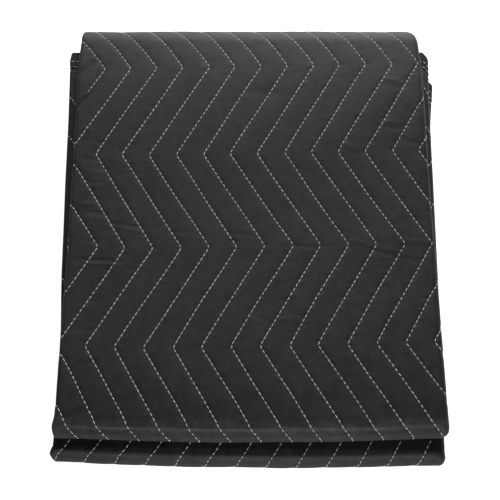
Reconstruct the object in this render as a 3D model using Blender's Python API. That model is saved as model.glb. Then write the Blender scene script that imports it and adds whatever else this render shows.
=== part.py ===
"""A quilted moving pad, folded flat: one quilted cloth in sixteen plies and its four binding tapes.

The cloth is laid out flat first: u runs across the width and v along the length. Two folds then
put each point in place. The first brings both sides to the middle and folds the cloth in half, so
it becomes a strip of four plies. The second does the same along its length, so the strip becomes
four layers. X points right, Y to the back and Z up, in metres.
"""

import math

import bmesh
import bpy
from mathutils import Vector
from mathutils.geometry import delaunay_2d_cdt

# The sheet and its binding tape
PLY = 0.0039  # from the middle of one ply to the middle of the next
HALF_PAD = 0.0017
HALF_BOUND = 0.0008  # the pad is pressed thin under its binding
TAPE = 0.0006
CLEAR = 0.0003
TAPE_WIDTH = 0.0235
PRESSED_WIDTH = 0.0240
PRESS_SLOPE = 0.0050

# The strip of four plies, across
HALF_WIDTH = 0.2200
X_RIGHT_FOLD = HALF_WIDTH - 1.5 * PLY - HALF_PAD
X_LEFT_FOLD = -HALF_WIDTH + 0.5 * PLY + HALF_PAD
X_EDGE_UPPER = X_RIGHT_FOLD - 0.0030  # the cloth's side edges lie inside the right fold
X_EDGE_LOWER = X_RIGHT_FOLD - 0.0015

# The four layers, along
STRIP = 4 * PLY
Y_END_UPPER = 0.2455
Y_END_LOWER = 0.2110
Y_ROLL_UPPER = -0.2458
Y_ROLL_LOWER = -0.2690
Y_WRAP = 0.2520
PATTERN_ROLL = math.pi * STRIP
PATTERN_WRAP = math.pi * 2 * STRIP

# The quilting
PITCH = 0.03364
SWING = 0.0736
HALF_PERIOD = 0.1237
X_LEFT_POINT = 0.0117
Y_FIRST_ROW = 0.2142
SLANT = 0.020  # the corner rows lie a little further back to the right
STITCH_DEPTH = 0.0008
PUFF = 0.0005
SIDE_FADE = 0.012
SHIFT_FADE = 0.030
TOP_ROOM = 0.010  # the corner rows slant on the top layer, up to this far from its folds
QUARTERS = 32  # raised points are worked out this many quarter pitches to either side
SIDE_ROOM = 0.004  # no raised point lies nearer than this to a side fold
PUFFS = (-STITCH_DEPTH, 0.6 * PUFF, PUFF, 0.6 * PUFF)  # from one stitch line towards the next
ROW_ROOM = 0.014  # other rows keep this far from a corner row
# Where the quilting fades in or out along each fold, as shares of the fold's length
UPPER_FADES_IN = (0.15, 0.35)
WRAP_FADES_OUT = (0.62, 0.85)
LOWER_FADES_IN = (0.20, 0.40)
LOWER_FADES_OUT = (0.75, 0.92)
# How far to the right the pattern has drifted on the top layer, and on past its folds as if it
# lay flat: (Y, drift at the left, drift at the right), back to front
DRIFT_X = 0.2  # how far left and right of the middle the two drifts lie
DRIFT = (
    (0.935, -0.0022, 0.0015), (0.920, -0.0018, 0.0022), (0.9125, -0.0012, 0.0035), (0.899, -0.0010, 0.0065),
    (0.870, 0.0, 0.0), (0.400, 0.0, 0.0), (0.290, -0.0130, -0.0045), (0.270, -0.0120, -0.0037),
    (0.254, -0.0085, -0.0028), (0.240, -0.0045, -0.0028), (0.214, -0.0012, -0.0045), (0.160, -0.0027, -0.0052),
    (0.092, -0.0027, -0.0052), (0.030, -0.0015, -0.0040), (-0.031, -0.0002, -0.0030), (-0.100, -0.0005, -0.0040),
    (-0.155, -0.0004, -0.0032), (-0.215, 0.0, 0.0), (-0.268, 0.0, 0.0), (-0.295, -0.0145, -0.0145),
    (-0.345, 0.0, 0.0),
)

# How each layer spreads past the strip's even width: (Y, left, right), back to front
SPREAD_TOP = (
    (0.284, -0.2198, 0.2096), (0.278, -0.2200, 0.2140), (0.270, -0.2200, 0.2177), (0.254, -0.2198, 0.2191),
    (0.220, -0.2213, 0.2206), (0.160, -0.2196, 0.2216), (0.030, -0.2192, 0.2214), (-0.050, -0.2188, 0.2228),
    (-0.140, -0.2193, 0.2224), (-0.200, -0.2188, 0.2222), (-0.222, -0.2187, 0.2223), (-0.240, -0.2192, 0.2224),
    (-0.246, -0.2205, 0.2225), (-0.252, -0.2215, 0.2228), (-0.2614, -0.2213, 0.2232),
)
SPREAD_SECOND = (
    (0.2455, -0.2346, 0.2340), (0.2400, -0.2362, 0.2338), (0.204, -0.2342, 0.2322), (0.145, -0.2320, 0.2303),
    (0.060, -0.2306, 0.2292), (-0.020, -0.2281, 0.2274), (-0.070, -0.2266, 0.2263), (-0.140, -0.2220, 0.2238),
    (-0.2614, -0.2200, 0.2228),
)
SPREAD_THIRD = (
    (0.211, -0.2330, 0.2400), (0.195, -0.2328, 0.2386), (0.146, -0.2315, 0.2328), (0.050, -0.2290, 0.2309),
    (-0.080, -0.2262, 0.2262), (-0.180, -0.2245, 0.2228), (-0.256, -0.2236, 0.2223), (-0.269, -0.2245, 0.2217),
    (-0.274, -0.2265, 0.2217), (-0.280, -0.2280, 0.2222), (-0.2846, -0.2256, 0.2228),
)
SPREAD_BOTTOM = (
    (0.284, -0.2198, 0.2096), (0.278, -0.2200, 0.2140), (0.260, -0.2200, 0.2180), (0.000, -0.2215, 0.2200),
    (-0.200, -0.2250, 0.2215), (-0.269, -0.2254, 0.2222), (-0.274, -0.2266, 0.2223), (-0.280, -0.2280, 0.2225),
    (-0.2846, -0.2256, 0.2228),
)

# How far the stack sinks between its folds, as a share of its height, and where along it
SAG = 0.10
SAG_GROWS = (-0.245, -0.05)
SAG_FADES = (0.0, 0.20)
BACK_DROP = 0.045
DROP_STARTS = 0.19
DROP_REACH = 0.072
SIDE_TILT = 0.03  # per metre to the left

# The rolls and the cloth's ends
BOW = 0.0048  # the middle of each roll bulges past its ends
LOWER_SKEW = 0.0022  # the lower roll reaches further forward at its right end
FRONT = (-0.25, -0.10)  # where the two above fade towards the back
END_SLANT_UPPER = 1.2  # how sharply each end turns forward on the right fold
END_SLANT_LOWER = 0.6
END_REACH = 0.12  # how far along the cloth that slant fades out

# How many steps each layer and fold has, and how far from the ends the first of them may lie
LAYER_STEPS = 8
END_ROOM = 1.8 * PRESSED_WIDTH
ROLL_STEPS = 8
WRAP_STEPS = 10
LEFT_FOLD_STEPS = 4
RIGHT_FOLD_STEPS = 6

PAD_COLOUR = (0.030, 0.031, 0.034)
TAPE_COLOUR = (0.022, 0.022, 0.024)


def smooth(a, b, x):
    """0 below a, 1 above b and a soft step between."""
    t = min(1.0, max(0.0, (x - a) / (b - a)))
    return t * t * (3 - 2 * t)


def along_table(table, y, column):
    """The table's value at y, straight between its rows."""
    if y >= table[0][0]:
        return table[0][column]
    for back, front in zip(table, table[1:]):
        if y >= front[0]:
            t = (y - front[0]) / (back[0] - front[0])
            return front[column] + t * (back[column] - front[column])
    return table[-1][column]


# Across the cloth: the second ply, the upper left fold, the top ply, the right fold round the
# whole strip, the bottom ply, the lower left fold and the third ply.
U_PARTS = (
    X_EDGE_UPPER - X_LEFT_FOLD,
    math.pi * 0.5 * PLY,
    X_RIGHT_FOLD - X_LEFT_FOLD,
    math.pi * 1.5 * PLY,
    X_RIGHT_FOLD - X_LEFT_FOLD,
    math.pi * 0.5 * PLY,
    X_EDGE_LOWER - X_LEFT_FOLD,
)
U_AT = [sum(U_PARTS[:i]) for i in range(len(U_PARTS) + 1)]
U_END = U_AT[-1]

# Along the cloth: the second layer, the upper roll, the top layer, the back wrap,
# the bottom layer, the lower roll and the third layer.
V_PARTS = (
    Y_END_UPPER - Y_ROLL_UPPER,
    PATTERN_ROLL,
    Y_WRAP - Y_ROLL_UPPER,
    PATTERN_WRAP,
    Y_WRAP - Y_ROLL_LOWER,
    PATTERN_ROLL,
    Y_END_LOWER - Y_ROLL_LOWER,
)
V_AT = [sum(V_PARTS[:i]) for i in range(len(V_PARTS) + 1)]
V_END = V_AT[-1]


def part_of(at, value):
    """Which part of a path holds value, and how far into it, from 0 to 1."""
    for i in range(len(at) - 2):
        if value < at[i + 1]:
            return i, (value - at[i]) / (at[i + 1] - at[i])
    return len(at) - 2, (value - at[-2]) / (at[-1] - at[-2])


def fold_across(u, w):
    """Where the point at u, w above the sheet's middle, lies in the strip: X and its depth."""
    part, t = part_of(U_AT, u)
    length = U_PARTS[part] * t
    if part == 0:
        return X_EDGE_UPPER - length, 2.5 * PLY - w
    if part in (1, 5):
        turn = math.pi * (t - 0.5)
        radius = 0.5 * PLY + w
        middle = 3 * PLY if part == 1 else PLY
        return X_LEFT_FOLD - radius * math.cos(turn), middle + radius * math.sin(turn)
    if part == 2:
        return X_LEFT_FOLD + length, 3.5 * PLY + w
    if part == 3:
        turn = math.pi * (0.5 - t)
        radius = 1.5 * PLY + w
        return X_RIGHT_FOLD + radius * math.cos(turn), 2 * PLY + radius * math.sin(turn)
    if part == 4:
        return X_RIGHT_FOLD - length, 0.5 * PLY - w
    return X_LEFT_FOLD + length, 1.5 * PLY + w


def fold_along(v, depth):
    """Where the strip's point at v and that depth lies: Y, Z and the layer's left and right."""
    part, t = part_of(V_AT, v)
    length = V_PARTS[part] * t
    turn = math.pi * t
    if part == 0:
        y, z, low, high, mix = Y_END_UPPER - length, 3 * STRIP - depth, SPREAD_SECOND, SPREAD_SECOND, 0
    elif part == 1:
        y, z = Y_ROLL_UPPER - depth * math.sin(turn), 3 * STRIP - depth * math.cos(turn)
        low, high, mix = SPREAD_SECOND, SPREAD_TOP, t
    elif part == 2:
        y, z, low, high, mix = Y_ROLL_UPPER + length, 3 * STRIP + depth, SPREAD_TOP, SPREAD_TOP, 0
    elif part == 3:
        y = Y_WRAP + (STRIP + depth) * math.sin(turn)
        z = 2 * STRIP + (STRIP + depth) * math.cos(turn)
        low, high, mix = SPREAD_TOP, SPREAD_BOTTOM, t
    elif part == 4:
        y, z, low, high, mix = Y_WRAP - length, STRIP - depth, SPREAD_BOTTOM, SPREAD_BOTTOM, 0
    elif part == 5:
        y, z = Y_ROLL_LOWER - depth * math.sin(turn), STRIP - depth * math.cos(turn)
        low, high, mix = SPREAD_BOTTOM, SPREAD_THIRD, t
    else:
        y, z, low, high, mix = Y_ROLL_LOWER + length, STRIP + depth, SPREAD_THIRD, SPREAD_THIRD, 0
    # The spread is read at the strip's own Y, so that all its plies move together.
    middle_y = y
    if part == 3:
        middle_y = Y_WRAP + 2 * STRIP * math.sin(turn)
    if part in (1, 5):
        middle_y = (Y_ROLL_UPPER if part == 1 else Y_ROLL_LOWER) - STRIP * math.sin(turn)
    left, right = (
        along_table(low, middle_y, i) * (1 - mix) + along_table(high, middle_y, i) * mix for i in (1, 2)
    )
    return y, z, left, right


def height_share(x, y):
    """How high the soft stack stands at x, y, as a share of its height at the folds."""
    middle = smooth(*SAG_GROWS, y) * (1 - smooth(*SAG_FADES, y))
    back = max(0.0, (y - DROP_STARTS) / DROP_REACH) ** 2
    return 1 - SAG * middle - BACK_DROP * back - SIDE_TILT * (HALF_WIDTH - x)


def folded(u, v, w):
    """The folded place of the flat cloth's point at u, v, w above the sheet's middle."""
    x, depth = fold_across(u, w)
    y, z, left, right = fold_along(v, depth)
    slant = END_SLANT_UPPER * (1 - smooth(0.0, END_REACH, v))
    slant += END_SLANT_LOWER * (1 - smooth(0.0, END_REACH, V_END - v))
    y -= slant * max(0.0, x - X_RIGHT_FOLD)
    x = left + (x + HALF_WIDTH) / (2 * HALF_WIDTH) * (right - left)
    low = z < 2 * STRIP
    z = (z - (0.5 * PLY - HALF_PAD)) * height_share(x, y)
    front = 1 - smooth(*FRONT, y)
    y -= (BOW * (1 - abs(x) / HALF_WIDTH) + LOWER_SKEW * low * x / HALF_WIDTH) * front
    return Vector((x, y, z))


# The quilting's corner rows along the cloth, from the row by the back wrap
V_FIRST_ROW = V_AT[2] + Y_FIRST_ROW - Y_ROLL_UPPER
CORNER_ROWS = [V_FIRST_ROW + HALF_PERIOD * i for i in range(-8, 12)]


def zigzag(v):
    """How far to the right a line of quilting is at v: SWING at the first row, 0 at the next."""
    for i, (a, b) in enumerate(zip(CORNER_ROWS, CORNER_ROWS[1:])):
        if v <= b:
            t = (v - a) / (b - a)
            return SWING * (1 - t if i % 2 == 0 else t)
    return 0.0


def drift(x, v):
    """How far to the right of the even pattern the quilting lies at x and v."""
    y = Y_ROLL_UPPER + v - V_AT[2]
    to_right = (x + DRIFT_X) / (2 * DRIFT_X)
    return along_table(DRIFT, y, 1) * (1 - to_right) + along_table(DRIFT, y, 2) * to_right


def relief_share(v):
    """1 where the quilting shows, fading to 0 where layers lie against each other."""
    part, t = part_of(V_AT, v)
    if part == 1:
        return smooth(*UPPER_FADES_IN, t)
    if part == 2:
        return 1.0
    if part == 3:
        return 1 - smooth(*WRAP_FADES_OUT, t)
    if part == 5:
        return smooth(*LOWER_FADES_IN, t) * (1 - smooth(*LOWER_FADES_OUT, t))
    return 0.0


def pad_half(u, v):
    """Half the sheet's thickness: thin under the binding tapes, full past them."""
    inside = min(u, U_END - u, v, V_END - v)
    return HALF_BOUND + (HALF_PAD - HALF_BOUND) * smooth(PRESSED_WIDTH, PRESSED_WIDTH + PRESS_SLOPE, inside)


def v_stations():
    """The rows of points along the cloth, closer at its folds."""
    rows = [0.0, PRESSED_WIDTH, PRESSED_WIDTH + PRESS_SLOPE]
    rows += [V_END - r for r in rows]
    steps = {1: ROLL_STEPS, 3: WRAP_STEPS, 5: ROLL_STEPS}
    for part, length in enumerate(V_PARTS):
        count = steps.get(part, LAYER_STEPS)
        for i in range(count + 1):
            row = V_AT[part] + length * i / count
            if part not in (0, 6) or END_ROOM < row < V_END - END_ROOM:
                rows.append(row)
    top_rows = [r for r in CORNER_ROWS if V_AT[2] < r < V_AT[3]]
    near = [r for r in rows if not any(abs(r - t) < ROW_ROOM for t in top_rows) or r in V_AT]
    rows = sorted(near + top_rows)
    return [r for i, r in enumerate(rows) if i == 0 or r - rows[i - 1] > 1e-5]


def u_stations():
    """The columns of points across the cloth, closer at its folds."""
    columns = [0.0, PRESSED_WIDTH, PRESSED_WIDTH + PRESS_SLOPE]
    columns += [U_END - c for c in columns]
    for part, count in ((1, LEFT_FOLD_STEPS), (3, RIGHT_FOLD_STEPS), (5, LEFT_FOLD_STEPS)):
        columns += [U_AT[part] + U_PARTS[part] * i / count for i in range(count + 1)]
    # The middle of each ply
    columns += [X_EDGE_UPPER, U_AT[2] - X_LEFT_FOLD, U_AT[4] + X_RIGHT_FOLD, U_AT[6] - X_LEFT_FOLD]
    return sorted(columns)


TOP_MIDDLE = u_stations().index(U_AT[2] - X_LEFT_FOLD)


def relief_points(v):
    """The points that raise the quilting at v: name, u, v and how far each lifts the face."""
    share = relief_share(v)
    if share <= 0:
        return []
    points = []
    slanted = V_AT[2] + TOP_ROOM < v < V_AT[3] - TOP_ROOM
    for n in range(-QUARTERS, QUARTERS + 1):
        even_x = X_LEFT_POINT + zigzag(v) - 2 * PITCH + n * PITCH / 4
        x = even_x if slanted else even_x - zigzag(v) + zigzag(v - SLANT * even_x)
        x += drift(x, v)
        room = min(X_RIGHT_FOLD - x, x - X_LEFT_FOLD)
        if room < SIDE_ROOM:
            continue
        shift = SLANT * x * smooth(0.0, SHIFT_FADE, room) if slanted else 0.0
        lift = PUFFS[n % 4] * share * smooth(0.0, SIDE_FADE, room)
        points.append((n, U_AT[2] + x - X_LEFT_FOLD, v + shift, lift))
    return points


def grid_faces(flat, edges):
    """Triangles over flat points that keep every given edge."""
    places, _, faces, origins, _, _ = delaunay_2d_cdt([Vector(p) for p in flat], edges, [], 0, 1e-7)
    names = [o[0] for o in origins]
    faces = [[names[i] for i in f] for f in faces]
    return [f for f in faces if len(set(f)) == 3]


def pad_mesh(bm):
    """The cloth: a face each side of the sheet, joined round its four edges."""
    rows = v_stations()
    columns = u_stations()
    sides = []
    for side in (1, -1):
        flat = []
        made = []
        edges = []
        chains = {}
        for j, v in enumerate(rows):
            row = [(u, v, 0.0, ("u", i)) for i, u in enumerate(columns)]
            raised = relief_points(v) if side > 0 else []
            row += [(u, at, lift, ("q", n)) for n, u, at, lift in raised]
            if raised:
                # The raised lines cross the top ply's middle, so it has no line of its own.
                chains = {name: chain for name, chain in chains.items() if name != ("u", TOP_MIDDLE)}
            row.sort()
            first = len(flat)
            for k, (u, at, lift, name) in enumerate(row):
                flat.append((u, at))
                made.append(bm.verts.new(folded(u, at, side * pad_half(u, at) + lift)))
                if k:
                    edges.append((first + k - 1, first + k))
                if name in chains and chains[name][0] == j - 1:
                    edges.append((chains[name][1], first + k))
                if not (raised and name == ("u", TOP_MIDDLE)):
                    chains[name] = (j, first + k)
        for face in grid_faces(flat, edges):
            corners = [made[i] for i in face]
            a, b, c = (flat[i] for i in face)
            turn = (b[0] - a[0]) * (c[1] - a[1]) - (b[1] - a[1]) * (c[0] - a[0])
            if (turn > 0) != (side > 0):
                corners.reverse()
            bm.faces.new(corners)
        by_place = {p: made[i] for i, p in enumerate(flat)}
        rim = [(u, rows[0]) for u in columns]
        rim += [(columns[-1], v) for v in rows[1:]]
        rim += [(u, rows[-1]) for u in reversed(columns[:-1])]
        rim += [(columns[0], v) for v in reversed(rows[1:-1])]
        sides.append([by_place[p] for p in rim])
    upper, lower = sides
    count = len(upper)
    for k in range(count):
        n = (k + 1) % count
        bm.faces.new((upper[k], lower[k], lower[n]))
        bm.faces.new((upper[k], lower[n], upper[n]))


def tape_section():
    """The binding's section over an edge: distance in from the edge, and height, all round."""
    inner = HALF_BOUND + CLEAR
    outer = inner + TAPE
    return (
        (TAPE_WIDTH, inner), (TAPE_WIDTH, outer), (-CLEAR, outer), (-CLEAR - TAPE, inner * 0.6),
        (-CLEAR - TAPE, -inner * 0.6), (-CLEAR, -outer), (TAPE_WIDTH, -outer), (TAPE_WIDTH, -inner),
        (-CLEAR, -inner), (-CLEAR, inner),
    )


def tape_mesh(bm, stations, place):
    """A binding tape: its section swept along the stations, with closed ends."""
    rings = [[bm.verts.new(place(s, inside, w)) for inside, w in tape_section()] for s in stations]
    count = len(rings[0])
    for a, b in zip(rings, rings[1:]):
        for k in range(count):
            n = (k + 1) % count
            bm.faces.new((a[k], b[k], b[n]))
            bm.faces.new((a[k], b[n], a[n]))
    for ring, flip in ((rings[0], False), (rings[-1], True)):
        # The section is a thin hook: its cap is a strip for each leaf and three pieces at the bend.
        for loop in ((0, 9, 2, 1), (9, 8, 4, 3), (9, 3, 2), (8, 5, 4), (8, 7, 6, 5)):
            corners = [ring[i] for i in loop]
            if flip:
                corners.reverse()
            bm.faces.new(corners)


def fabric(name, colour):
    """A plain matt cloth."""
    material = bpy.data.materials.new(name)
    material.use_nodes = True
    shader = material.node_tree.nodes["Principled BSDF"]
    shader.inputs["Base Color"].default_value = (*colour, 1.0)
    shader.inputs["Roughness"].default_value = 0.85
    return material


def centre_on_base(objects):
    """Moves every mesh so that the origin is under the middle of them all, on the ground."""
    points = [v.co for o in objects for v in o.data.vertices]
    middle = Vector([(min(p[i] for p in points) + max(p[i] for p in points)) / 2 for i in (0, 1)] + [0.0])
    for o in objects:
        for v in o.data.vertices:
            v.co -= middle


def add_object(name, build, colour):
    """Makes an object of build's mesh, all triangles facing out."""
    bm = bmesh.new()
    build(bm)
    bmesh.ops.triangulate(bm, faces=bm.faces[:])
    bmesh.ops.recalc_face_normals(bm, faces=bm.faces[:])
    mesh = bpy.data.meshes.new(name)
    bm.to_mesh(mesh)
    bm.free()
    mesh.materials.append(fabric(name + "_cloth", colour))
    bpy.context.scene.collection.objects.link(bpy.data.objects.new(name, mesh))


for old in list(bpy.data.objects):
    bpy.data.objects.remove(old, do_unlink=True)

ROWS = v_stations()
COLUMNS = u_stations()
SIDE_ROWS = [PRESSED_WIDTH + 2 * CLEAR] + [r for r in ROWS if PRESSED_WIDTH < r < V_END - PRESSED_WIDTH]
SIDE_ROWS += [V_END - PRESSED_WIDTH - 2 * CLEAR]
SIDE_ROWS = sorted(set(SIDE_ROWS))

TAPES = (
    ("binding_end_upper", COLUMNS, lambda u, inside, w: folded(u, inside, w)),
    ("binding_end_lower", COLUMNS, lambda u, inside, w: folded(u, V_END - inside, w)),
    ("binding_side_upper", SIDE_ROWS, lambda v, inside, w: folded(inside, v, w)),
    ("binding_side_lower", SIDE_ROWS, lambda v, inside, w: folded(U_END - inside, v, w)),
)

add_object("pad", pad_mesh, PAD_COLOUR)
for tape_name, tape_stations, tape_place in TAPES:
    add_object(tape_name, lambda bm: tape_mesh(bm, tape_stations, tape_place), TAPE_COLOUR)
centre_on_base(list(bpy.data.objects))
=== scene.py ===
"""A folded quilted moving pad: the cloth, its binding tapes and its stitching, lit for a studio photo.

The cloth is laid out flat first, u across and v along, and two folds put each point in place,
as in the CAD part. X points right, Y to the back and Z up, in metres.
"""

import math

import bmesh
import bpy
import numpy as np
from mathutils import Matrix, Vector


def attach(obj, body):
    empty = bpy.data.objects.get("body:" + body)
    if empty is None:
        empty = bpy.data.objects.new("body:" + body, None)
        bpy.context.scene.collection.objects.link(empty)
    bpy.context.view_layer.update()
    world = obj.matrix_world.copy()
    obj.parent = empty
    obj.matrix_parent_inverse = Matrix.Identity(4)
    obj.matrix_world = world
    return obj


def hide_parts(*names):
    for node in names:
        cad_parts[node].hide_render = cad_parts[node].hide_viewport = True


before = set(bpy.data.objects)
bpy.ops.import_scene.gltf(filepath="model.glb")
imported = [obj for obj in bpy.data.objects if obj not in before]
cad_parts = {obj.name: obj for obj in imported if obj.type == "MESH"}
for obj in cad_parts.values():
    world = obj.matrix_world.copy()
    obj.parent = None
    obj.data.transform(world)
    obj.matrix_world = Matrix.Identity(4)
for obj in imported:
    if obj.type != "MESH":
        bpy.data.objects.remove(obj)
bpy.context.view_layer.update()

# The sheet and its binding tape
PLY = 0.0039  # from the middle of one ply to the middle of the next
HALF_PAD = 0.0017
HALF_BOUND = 0.0008  # the pad is pressed thin under its binding
TAPE = 0.0006
CLEAR = 0.0003
TAPE_WIDTH = 0.0235
TAPE_CROWN = 0.00005  # the tape's leaves bulge this much
TAPE_CROWN_AT = 0.45  # at this share of their width
TAPE_TURN = 0.7  # and its outer turn stands this share of their inner height
TAPE_WAVES = ((0.00004, 900, 0), (0.00003, 370, 1))  # heights, radians for each metre and starts
PRESSED_WIDTH = 0.0240
PRESS_SLOPE = 0.0050

# The strip of four plies, across
HALF_WIDTH = 0.2200
X_RIGHT_FOLD = HALF_WIDTH - 1.5 * PLY - HALF_PAD
X_LEFT_FOLD = -HALF_WIDTH + 0.5 * PLY + HALF_PAD
X_EDGE_UPPER = X_RIGHT_FOLD - 0.0030  # the cloth's side edges lie inside the right fold
X_EDGE_LOWER = X_RIGHT_FOLD - 0.0015

# The four layers, along
STRIP = 4 * PLY
Y_END_UPPER = 0.2455
Y_END_LOWER = 0.2110
Y_ROLL_UPPER = -0.2458
Y_ROLL_LOWER = -0.2690
Y_WRAP = 0.2520
PATTERN_ROLL = math.pi * STRIP
PATTERN_WRAP = math.pi * 2 * STRIP
MIDDLE = (0.0024, -0.0031)  # the row frame's origin, in the coordinates used here

# The quilting
PITCH = 0.03364
SWING = 0.0736
HALF_PERIOD = 0.1237
X_LEFT_POINT = 0.0117
Y_FIRST_ROW = 0.2142
SLANT = 0.020  # the corner rows lie a little further back to the right
SLANT_REACH = 0.3
LEFT_RISE = 0.0034  # and, on the top layer, bend back towards its left edge
RISE_AT = (0.11, 0.20)  # how far left of the middle that starts and is full
RISE_FRONT = (0.02, 0.06)  # how far from the top layer's front it starts and is full
RISE_BACK = (0.12, 0.06)  # and from its back, where it fades again
GROOVE_DEPTH = 0.0003
PUFF = 0.0003
GROOVE_REACH = 0.0034
GROOVE_POWER = 1.4
PUCKER_HEIGHT = 0.00018
PUCKER_LENGTH = 0.0105
PUCKER_AWAY = 0.0030  # how far from the line of quilting the puckers are highest
PUCKER_REACH = 0.0040
UNEVEN_HEIGHT = 0.00045
UNEVEN_EDGE = 0.030  # the unevenness is full this far from the side folds
# Where the quilting fades in or out along each fold, as shares of the fold's length
UPPER_FADES_IN = (0.15, 0.35)
WRAP_FADES_OUT = (0.62, 0.85)
LOWER_FADES_IN = (0.20, 0.40)
LOWER_FADES_OUT = (0.75, 0.92)
LEFT_FADES_IN = (0.2, 0.8)
RIGHT_FADES_FROM = 0.5

# How each layer spreads past the strip's even width: (Y, left, right), back to front
SPREAD_TOP = (
    (0.284, -0.2198, 0.2096), (0.278, -0.2200, 0.2140), (0.270, -0.2200, 0.2177),
    (0.254, -0.2198, 0.2191), (0.220, -0.2213, 0.2206), (0.160, -0.2196, 0.2216),
    (0.030, -0.2192, 0.2214), (-0.050, -0.2188, 0.2228), (-0.140, -0.2193, 0.2224),
    (-0.200, -0.2188, 0.2222), (-0.222, -0.2187, 0.2223), (-0.240, -0.2192, 0.2224),
    (-0.246, -0.2205, 0.2225), (-0.252, -0.2215, 0.2228), (-0.2614, -0.2213, 0.2232),
)
SPREAD_SECOND = (
    (0.2455, -0.2346, 0.2340), (0.2400, -0.2362, 0.2338), (0.204, -0.2342, 0.2322),
    (0.145, -0.2320, 0.2303), (0.060, -0.2306, 0.2292), (-0.020, -0.2281, 0.2274),
    (-0.070, -0.2266, 0.2263), (-0.140, -0.2220, 0.2238), (-0.2614, -0.2200, 0.2228),
)
SPREAD_THIRD = (
    (0.211, -0.2330, 0.2400), (0.195, -0.2328, 0.2386), (0.146, -0.2315, 0.2328),
    (0.050, -0.2290, 0.2309), (-0.080, -0.2262, 0.2262), (-0.180, -0.2245, 0.2228),
    (-0.256, -0.2236, 0.2223), (-0.269, -0.2245, 0.2217), (-0.274, -0.2265, 0.2217),
    (-0.280, -0.2280, 0.2222), (-0.2846, -0.2256, 0.2228),
)
SPREAD_BOTTOM = (
    (0.284, -0.2198, 0.2096), (0.278, -0.2200, 0.2140), (0.260, -0.2200, 0.2180),
    (0.000, -0.2215, 0.2200), (-0.200, -0.2250, 0.2215), (-0.269, -0.2254, 0.2222),
    (-0.274, -0.2266, 0.2223), (-0.280, -0.2280, 0.2225), (-0.2846, -0.2256, 0.2228),
)

# How far the pattern has drifted to the right on the top layer, and on past its folds as if it
# lay flat: (Y, drift at the left, drift at the right), back to front
DRIFT_X = 0.2  # how far left and right of the middle the two drifts lie
DRIFT_PAST = 0.1  # and the share of the way between them that they still grow past
DRIFT = (
    (0.935, -0.0022, 0.0015), (0.920, -0.0018, 0.0022), (0.9125, -0.0012, 0.0035),
    (0.899, -0.0010, 0.0065), (0.870, 0.0, 0.0), (0.400, 0.0, 0.0), (0.290, -0.0130, -0.0045),
    (0.270, -0.0120, -0.0037), (0.254, -0.0085, -0.0028), (0.240, -0.0045, -0.0028),
    (0.214, -0.0012, -0.0045), (0.160, -0.0027, -0.0052), (0.092, -0.0027, -0.0052),
    (0.030, -0.0015, -0.0040), (-0.031, -0.0002, -0.0030), (-0.100, -0.0005, -0.0040),
    (-0.155, -0.0004, -0.0032), (-0.215, 0.0, 0.0), (-0.268, 0.0, 0.0), (-0.295, -0.0145, -0.0145),
    (-0.345, 0.0, 0.0),
)

# How far the stack sinks between its folds, as a share of its height, and where along it
SAG = 0.10
SAG_GROWS = (-0.245, -0.05)
SAG_FADES = (0.0, 0.20)
BACK_DROP = 0.045
DROP_STARTS = 0.19
DROP_REACH = 0.072
SIDE_TILT = 0.03  # per metre to the left

# The rolls and the cloth's ends
BOW = 0.0048  # the middle of each roll bulges past its ends
LOWER_SKEW = 0.0022  # the lower roll reaches further forward at its right end
FRONT = (-0.25, -0.10)  # where the two above fade towards the back
END_SLANT_UPPER = 1.2  # how sharply each end turns forward on the right fold
END_SLANT_LOWER = 0.6
END_REACH = 0.12  # how far along the cloth that slant fades out
# How far each roll's shoulder lies inside its even curve, by the way down from where it starts
SHOULDER_UPPER = (
    (-0.0080, 0.0), (-0.0064, 0.00004), (-0.0048, 0.00013), (-0.0032, 0.00031), (-0.0016, 0.00062),
    (0.0, 0.00108), (0.0016, 0.00165), (0.0032, 0.0022), (0.0048, 0.0026), (0.0064, 0.0027),
    (0.009, 0.0027), (0.013, 0.0021), (0.018, 0.0010), (0.024, 0.0002), (0.028, 0.0),
)
SHOULDER_LOWER = (
    (-0.0048, 0.0), (-0.0032, 0.00008), (-0.0016, 0.00028), (0.0, 0.00064), (0.0016, 0.00128),
    (0.0032, 0.00184), (0.0048, 0.0021), (0.007, 0.0021), (0.011, 0.00168), (0.016, 0.00088),
    (0.022, 0.00024), (0.026, 0.0),
)
# Painted highlights: bands across each roll's shoulder where the cloth's colour is made lighter, standing in
# for the light that falls there: how far before the layer that the roll runs up into, and how many times as
# light
PAINTED_HIGHLIGHTS = ((0.0028, 2.20), (0.0082, 1.22))
PAINTED_HIGHLIGHT_REACH = 0.0110
SHOULDER_EDGE = (-0.002, 0.008)  # how far from the side folds the shoulders fade in

# The thread: one stitch every STITCH_STEP, with a short gap
STITCH_STEP = 0.0063
STITCH_LENGTH = 0.0046
THREAD_RADIUS = 0.00042
# A stitch's rings: place along it, share of the radius and height above the cloth
STITCH_SHAPE = ((-0.5, 0.35, -0.00035), (-0.32, 0.95, 0.0002), (0.32, 0.95, 0.0002), (0.5, 0.35, -0.00035))
STITCH_SIDES = 5
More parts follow.
